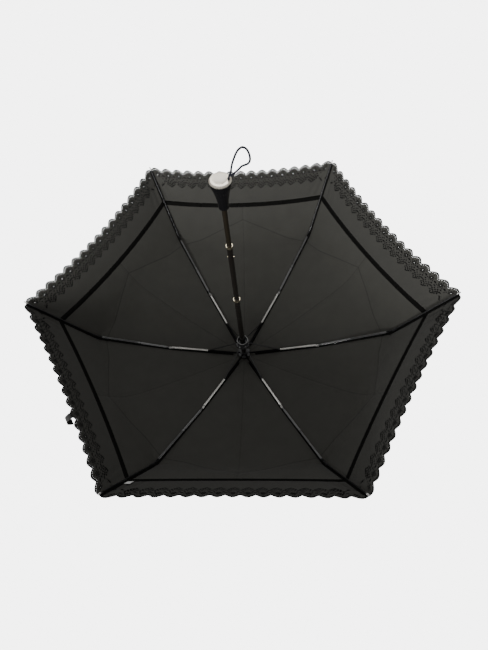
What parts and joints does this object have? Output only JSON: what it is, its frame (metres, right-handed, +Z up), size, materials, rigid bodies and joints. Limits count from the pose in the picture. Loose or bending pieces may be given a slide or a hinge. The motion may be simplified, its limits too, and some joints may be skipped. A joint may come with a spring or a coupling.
{
  "type": "folding parasol",
  "caption": "Open folding parasol with six jointed ribs, a telescoping shaft, a sliding runner, a lace-edged canopy and a flared handle with a wrist cord.",
  "frame": {"origin": "middle of the grip, on the shaft axis", "axes": "+Z up along the shaft towards the crown, canopy at the top as in use; the ribs stand at multiples of 60 degrees from +X; the wrist cord leaves the end plate on the -X side"},
  "size_m": [0.8654, 0.7556, 0.6343],
  "materials": {
    "black_plastic": "gloss",
    "end_metal": "satin",
    "shaft_lower": "gloss",
    "shaft_dark": "gloss",
    "rim_metal": "satin",
    "rib_metal": "satin",
    "bar_metal": "satin",
    "wire_steel": "polished",
    "rod_black": "satin",
    "cloth": "plain weave",
    "lace": "embroidered",
    "cord": "braided"
  },
  "bodies": {
    "handle": {"handle_body": "black_plastic", "handle_cap": "end_metal", "lower_tube": "shaft_lower", "cord_knot": "cord", "wrist_cord": "cord"},
    "middle": {"middle_tube": "shaft_dark", "collar_lower": "rim_metal", "stop_rivets": "rim_metal"},
    "upper": {"upper_tube": "shaft_dark", "collar_upper": "rim_metal", "crown": "black_plastic", "crown_wire": "wire_steel", "top_cap": "black_plastic", "gore_1": "cloth", "gore_2": "cloth", "gore_3": "cloth", "gore_4": "cloth", "gore_5": "cloth", "gore_6": "cloth", "lace_border": "lace", "tie_strap": "cloth"},
    "slider": {"runner": "black_plastic", "runner_wire": "wire_steel"},
    "inner_1": {"inner_rib_1": "rib_metal"},
    "bar_1": {"stretcher_1": "bar_metal"},
    "mid_1": {"middle_rib_1": "rib_metal", "link_wires_1": "wire_steel"},
    "outer_1": {"outer_rib_1": "rod_black", "rib_tip_1": "wire_steel"},
    "inner_2": {"inner_rib_2": "rib_metal"},
    "bar_2": {"stretcher_2": "bar_metal"},
    "mid_2": {"middle_rib_2": "rib_metal", "link_wires_2": "wire_steel"},
    "outer_2": {"outer_rib_2": "rod_black", "rib_tip_2": "wire_steel"},
    "inner_3": {"inner_rib_3": "rib_metal"},
    "bar_3": {"stretcher_3": "bar_metal"},
    "mid_3": {"middle_rib_3": "rib_metal", "link_wires_3": "wire_steel"},
    "outer_3": {"outer_rib_3": "rod_black", "rib_tip_3": "wire_steel"},
    "inner_4": {"inner_rib_4": "rib_metal"},
    "bar_4": {"stretcher_4": "bar_metal"},
    "mid_4": {"middle_rib_4": "rib_metal", "link_wires_4": "wire_steel"},
    "outer_4": {"outer_rib_4": "rod_black", "rib_tip_4": "wire_steel"},
    "inner_5": {"inner_rib_5": "rib_metal"},
    "bar_5": {"stretcher_5": "bar_metal"},
    "mid_5": {"middle_rib_5": "rib_metal", "link_wires_5": "wire_steel"},
    "outer_5": {"outer_rib_5": "rod_black", "rib_tip_5": "wire_steel"},
    "inner_6": {"inner_rib_6": "rib_metal"},
    "bar_6": {"stretcher_6": "bar_metal"},
    "mid_6": {"middle_rib_6": "rib_metal", "link_wires_6": "wire_steel"},
    "outer_6": {"outer_rib_6": "rod_black", "rib_tip_6": "wire_steel"}
  },
  "joints": [
    {"name": "middle_slide", "type": "slide", "parent": "handle", "child": "middle", "axis": [0, 0, 1], "range_m": [-0.088, 0]},
    {"name": "upper_slide", "type": "slide", "parent": "middle", "child": "upper", "axis": [0, 0, 1], "range_m": [-0.133, 0]},
    {"name": "runner_slide", "type": "slide", "parent": "upper", "child": "slider", "axis": [0, 0, 1], "range_m": [-0.0999, 0], "deforming": ["gore_1", "gore_2", "gore_3", "gore_4", "gore_5", "gore_6", "lace_border", "tie_strap"]},
    {"name": "inner_hinge_1", "type": "hinge", "parent": "upper", "child": "inner_1", "pos_m": [0.006, 0.01039, 0.526], "axis": [-0.866, 0.5, 0], "range_deg": [0, 73.7]},
    {"name": "bar_hinge_1", "type": "hinge", "parent": "inner_1", "child": "bar_1", "pos_m": [0.04208, 0.07288, 0.50955], "axis": [-0.866, 0.5, 0], "range_deg": [-135.1, 0]},
    {"name": "mid_hinge_1", "type": "hinge", "parent": "inner_1", "child": "mid_1", "pos_m": [0.08776, 0.152, 0.49234], "axis": [-0.866, 0.5, 0], "range_deg": [-182.9, 0]},
    {"name": "outer_hinge_1", "type": "hinge", "parent": "mid_1", "child": "outer_1", "pos_m": [0.16439, 0.28474, 0.42787], "axis": [-0.866, 0.5, 0], "range_deg": [0, 141]},
    {"name": "inner_hinge_2", "type": "hinge", "parent": "upper", "child": "inner_2", "pos_m": [-0.006, 0.01039, 0.526], "axis": [-0.866, -0.5, 0], "range_deg": [0, 73.7]},
    {"name": "bar_hinge_2", "type": "hinge", "parent": "inner_2", "child": "bar_2", "pos_m": [-0.04208, 0.07288, 0.50955], "axis": [-0.866, -0.5, 0], "range_deg": [-135.1, 0]},
    {"name": "mid_hinge_2", "type": "hinge", "parent": "inner_2", "child": "mid_2", "pos_m": [-0.08776, 0.152, 0.49234], "axis": [-0.866, -0.5, 0], "range_deg": [-182.9, 0]},
    {"name": "outer_hinge_2", "type": "hinge", "parent": "mid_2", "child": "outer_2", "pos_m": [-0.16439, 0.28474, 0.42787], "axis": [-0.866, -0.5, 0], "range_deg": [0, 141]},
    {"name": "inner_hinge_3", "type": "hinge", "parent": "upper", "child": "inner_3", "pos_m": [-0.012, 0, 0.526], "axis": [0, -1, 0], "range_deg": [0, 73.7]},
    {"name": "bar_hinge_3", "type": "hinge", "parent": "inner_3", "child": "bar_3", "pos_m": [-0.08415, 0, 0.50955], "axis": [0, -1, 0], "range_deg": [-135.1, 0]},
    {"name": "mid_hinge_3", "type": "hinge", "parent": "inner_3", "child": "mid_3", "pos_m": [-0.17552, 0, 0.49234], "axis": [0, -1, 0], "range_deg": [-182.9, 0]},
    {"name": "outer_hinge_3", "type": "hinge", "parent": "mid_3", "child": "outer_3", "pos_m": [-0.32878, 0, 0.42787], "axis": [0, -1, 0], "range_deg": [0, 141]},
    {"name": "inner_hinge_4", "type": "hinge", "parent": "upper", "child": "inner_4", "pos_m": [-0.006, -0.01039, 0.526], "axis": [0.866, -0.5, 0], "range_deg": [0, 73.7]},
    {"name": "bar_hinge_4", "type": "hinge", "parent": "inner_4", "child": "bar_4", "pos_m": [-0.04208, -0.07288, 0.50955], "axis": [0.866, -0.5, 0], "range_deg": [-135.1, 0]},
    {"name": "mid_hinge_4", "type": "hinge", "parent": "inner_4", "child": "mid_4", "pos_m": [-0.08776, -0.152, 0.49234], "axis": [0.866, -0.5, 0], "range_deg": [-182.9, 0]},
    {"name": "outer_hinge_4", "type": "hinge", "parent": "mid_4", "child": "outer_4", "pos_m": [-0.16439, -0.28474, 0.42787], "axis": [0.866, -0.5, 0], "range_deg": [0, 141]},
    {"name": "inner_hinge_5", "type": "hinge", "parent": "upper", "child": "inner_5", "pos_m": [0.006, -0.01039, 0.526], "axis": [0.866, 0.5, 0], "range_deg": [0, 73.7]},
    {"name": "bar_hinge_5", "type": "hinge", "parent": "inner_5", "child": "bar_5", "pos_m": [0.04208, -0.07288, 0.50955], "axis": [0.866, 0.5, 0], "range_deg": [-135.1, 0]},
    {"name": "mid_hinge_5", "type": "hinge", "parent": "inner_5", "child": "mid_5", "pos_m": [0.08776, -0.152, 0.49234], "axis": [0.866, 0.5, 0], "range_deg": [-182.9, 0]},
    {"name": "outer_hinge_5", "type": "hinge", "parent": "mid_5", "child": "outer_5", "pos_m": [0.16439, -0.28474, 0.42787], "axis": [0.866, 0.5, 0], "range_deg": [0, 141]},
    {"name": "inner_hinge_6", "type": "hinge", "parent": "upper", "child": "inner_6", "pos_m": [0.012, 0, 0.526], "axis": [0, 1, 0], "range_deg": [0, 73.7]},
    {"name": "bar_hinge_6", "type": "hinge", "parent": "inner_6", "child": "bar_6", "pos_m": [0.08415, 0, 0.50955], "axis": [0, 1, 0], "range_deg": [-135.1, 0]},
    {"name": "mid_hinge_6", "type": "hinge", "parent": "inner_6", "child": "mid_6", "pos_m": [0.17552, 0, 0.49234], "axis": [0, 1, 0], "range_deg": [-182.9, 0]},
    {"name": "outer_hinge_6", "type": "hinge", "parent": "mid_6", "child": "outer_6", "pos_m": [0.32878, 0, 0.42787], "axis": [0, 1, 0], "range_deg": [0, 141]}
  ],
  "couplings": [
    {"joint": "inner_hinge_1", "follows": "runner_slide", "rad_per_m": -12.849},
    {"joint": "bar_hinge_1", "follows": "runner_slide", "rad_per_m": 23.578},
    {"joint": "mid_hinge_1", "follows": "runner_slide", "rad_per_m": 31.92},
    {"joint": "outer_hinge_1", "follows": "runner_slide", "rad_per_m": -24.608},
    {"joint": "inner_hinge_2", "follows": "runner_slide", "rad_per_m": -12.849},
    {"joint": "bar_hinge_2", "follows": "runner_slide", "rad_per_m": 23.578},
    {"joint": "mid_hinge_2", "follows": "runner_slide", "rad_per_m": 31.92},
    {"joint": "outer_hinge_2", "follows": "runner_slide", "rad_per_m": -24.608},
    {"joint": "inner_hinge_3", "follows": "runner_slide", "rad_per_m": -12.849},
    {"joint": "bar_hinge_3", "follows": "runner_slide", "rad_per_m": 23.578},
    {"joint": "mid_hinge_3", "follows": "runner_slide", "rad_per_m": 31.92},
    {"joint": "outer_hinge_3", "follows": "runner_slide", "rad_per_m": -24.608},
    {"joint": "inner_hinge_4", "follows": "runner_slide", "rad_per_m": -12.849},
    {"joint": "bar_hinge_4", "follows": "runner_slide", "rad_per_m": 23.578},
    {"joint": "mid_hinge_4", "follows": "runner_slide", "rad_per_m": 31.92},
    {"joint": "outer_hinge_4", "follows": "runner_slide", "rad_per_m": -24.608},
    {"joint": "inner_hinge_5", "follows": "runner_slide", "rad_per_m": -12.849},
    {"joint": "bar_hinge_5", "follows": "runner_slide", "rad_per_m": 23.578},
    {"joint": "mid_hinge_5", "follows": "runner_slide", "rad_per_m": 31.92},
    {"joint": "outer_hinge_5", "follows": "runner_slide", "rad_per_m": -24.608},
    {"joint": "inner_hinge_6", "follows": "runner_slide", "rad_per_m": -12.849},
    {"joint": "bar_hinge_6", "follows": "runner_slide", "rad_per_m": 23.578},
    {"joint": "mid_hinge_6", "follows": "runner_slide", "rad_per_m": 31.92},
    {"joint": "outer_hinge_6", "follows": "runner_slide", "rad_per_m": -24.608}
  ]
}
